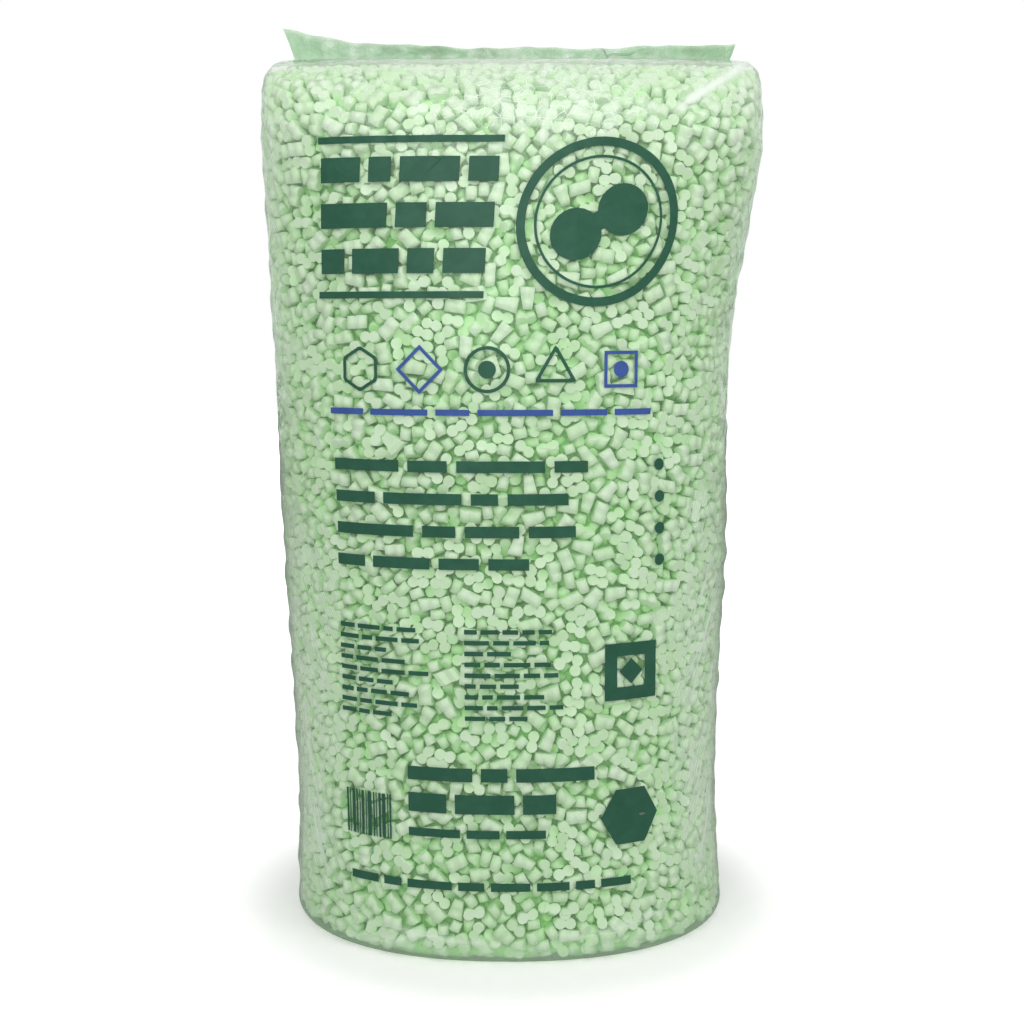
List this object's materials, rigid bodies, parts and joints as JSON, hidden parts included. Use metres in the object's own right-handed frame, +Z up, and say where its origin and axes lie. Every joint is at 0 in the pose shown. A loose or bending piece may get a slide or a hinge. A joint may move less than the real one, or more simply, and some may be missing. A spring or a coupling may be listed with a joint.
{
  "type": "clear film bag of loose-fill packing peanuts",
  "caption": "Clear gusseted film bag, welded along a fin at the top and standing on its base, full of pale green figure-eight foam packing peanuts.",
  "frame": {"origin": "on the floor, under the middle of the bag's bounding box", "axes": "+Z up, the long way of the bag; the fin at the top runs along X; the front panel faces -Y and the side gussets face +X and -X"},
  "size_m": [0.794, 0.6102, 1.44],
  "materials": {
    "clear_film": "clear polyethylene film, glossy and slightly hazy",
    "green_foam": "pale green foamed polystyrene, matt with a fine skin",
    "green_fill": "the same foam in the shade between the peanuts"
  },
  "bodies": {
    "root": {"film_bag": "clear_film", "loose_fill": "green_fill", "peanut_01": "green_foam", "peanut_02": "green_foam", "peanut_03": "green_foam", "peanut_04": "green_foam", "peanut_05": "green_foam", "peanut_06": "green_foam", "peanut_07": "green_foam", "peanut_08": "green_foam", "peanut_09": "green_foam", "peanut_10": "green_foam", "peanut_11": "green_foam", "peanut_12": "green_foam", "peanut_13": "green_foam", "peanut_14": "green_foam", "peanut_15": "green_foam", "peanut_16": "green_foam", "peanut_17": "green_foam", "peanut_18": "green_foam", "peanut_19": "green_foam", "peanut_20": "green_foam", "peanut_21": "green_foam", "peanut_22": "green_foam", "peanut_23": "green_foam", "peanut_24": "green_foam", "peanut_25": "green_foam", "peanut_26": "green_foam", "peanut_27": "green_foam", "peanut_28": "green_foam", "peanut_29": "green_foam", "peanut_30": "green_foam", "peanut_31": "green_foam", "peanut_32": "green_foam", "peanut_33": "green_foam", "peanut_34": "green_foam", "peanut_35": "green_foam", "peanut_36": "green_foam", "peanut_37": "green_foam", "peanut_38": "green_foam", "peanut_39": "green_foam", "peanut_40": "green_foam", "peanut_41": "green_foam", "peanut_42": "green_foam"}
  },
  "joints": []
}
